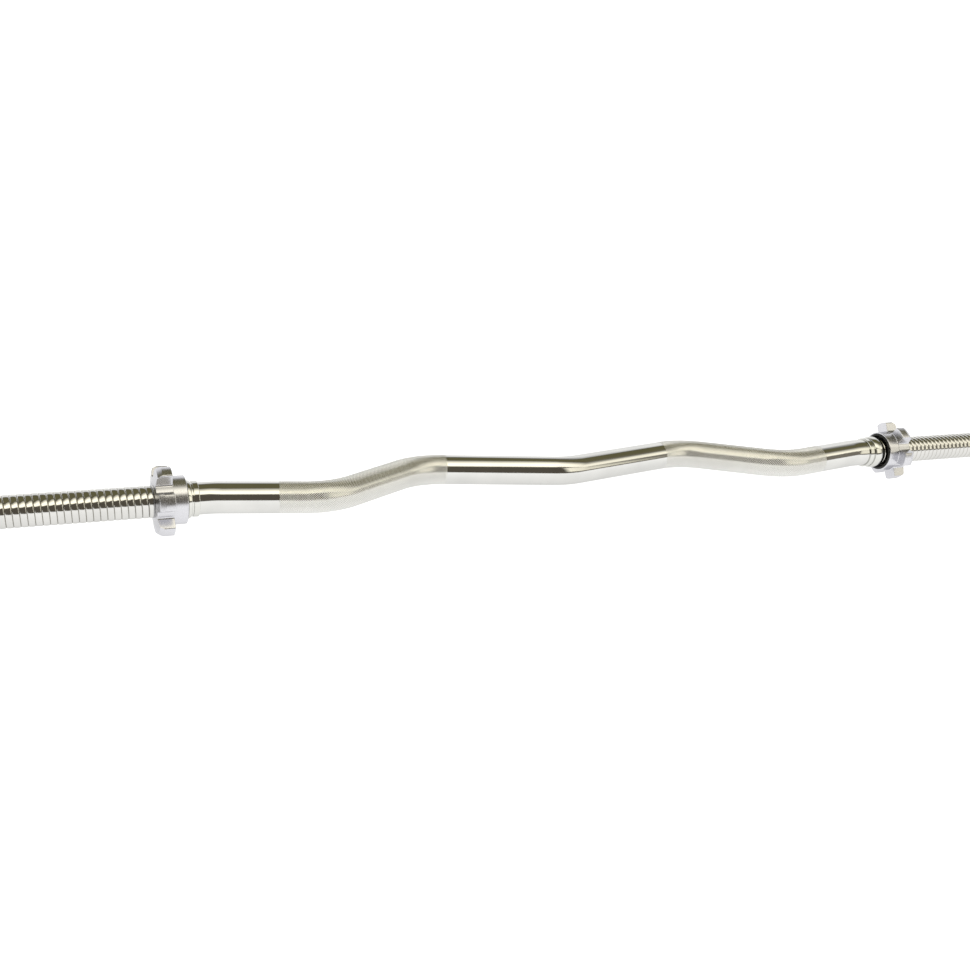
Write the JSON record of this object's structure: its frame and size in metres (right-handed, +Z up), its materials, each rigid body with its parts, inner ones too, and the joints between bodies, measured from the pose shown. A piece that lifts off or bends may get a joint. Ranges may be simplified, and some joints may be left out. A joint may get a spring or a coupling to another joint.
{
  "type": "ez curl bar",
  "caption": "Chromed curl bar bent in a shallow W for angled grips, with threaded plate sleeves, pressed inner collars and screw-on star nuts with rubber rings",
  "frame": {"origin": "on the floor under the middle of the part's outline, with the bar level and the lowest lobe of the left star nut on the floor", "axes": "+X along the bar, +Y towards the side that the inner bends point to, away from the camera, +Z up"},
  "size_m": [1.2, 0.0688, 0.0566],
  "materials": {
    "bar_chrome": "polished chrome, matte where knurled, threaded at both ends",
    "collar_chrome": "polished chrome",
    "nut_chrome": "chromed casting, softly polished",
    "ring_rubber": "black matte rubber"
  },
  "bodies": {
    "bar": {"bar": "bar_chrome", "inner_collar_left": "collar_chrome", "inner_collar_right": "collar_chrome"},
    "left_ring": {"rubber_ring_left": "ring_rubber"},
    "left_nut": {"star_nut_left": "nut_chrome"},
    "right_ring": {"rubber_ring_right": "ring_rubber"},
    "right_nut": {"star_nut_right": "nut_chrome"}
  },
  "joints": [
    {"name": "left_nut_travel", "type": "slide", "parent": "bar", "child": "left_ring", "axis": [-1, 0, 0], "range_m": [-0.0002, 0.2752]},
    {"name": "left_nut_turn", "type": "hinge", "parent": "left_ring", "child": "left_nut", "pos_m": [-0.3402, -0.00628, 0.02832], "axis": [-1, 0, 0], "range_deg": [0, 19800]},
    {"name": "right_nut_travel", "type": "slide", "parent": "bar", "child": "right_ring", "axis": [1, 0, 0], "range_m": [-0.0102, 0.2652]},
    {"name": "right_nut_turn", "type": "hinge", "parent": "right_ring", "child": "right_nut", "pos_m": [0.3502, -0.00628, 0.02832], "axis": [1, 0, 0], "range_deg": [-720, 19080]}
  ],
  "couplings": [
    {"joint": "left_nut_travel", "follows": "left_nut_turn", "m_per_rad": 0.00079577},
    {"joint": "right_nut_travel", "follows": "right_nut_turn", "m_per_rad": 0.00079577}
  ]
}
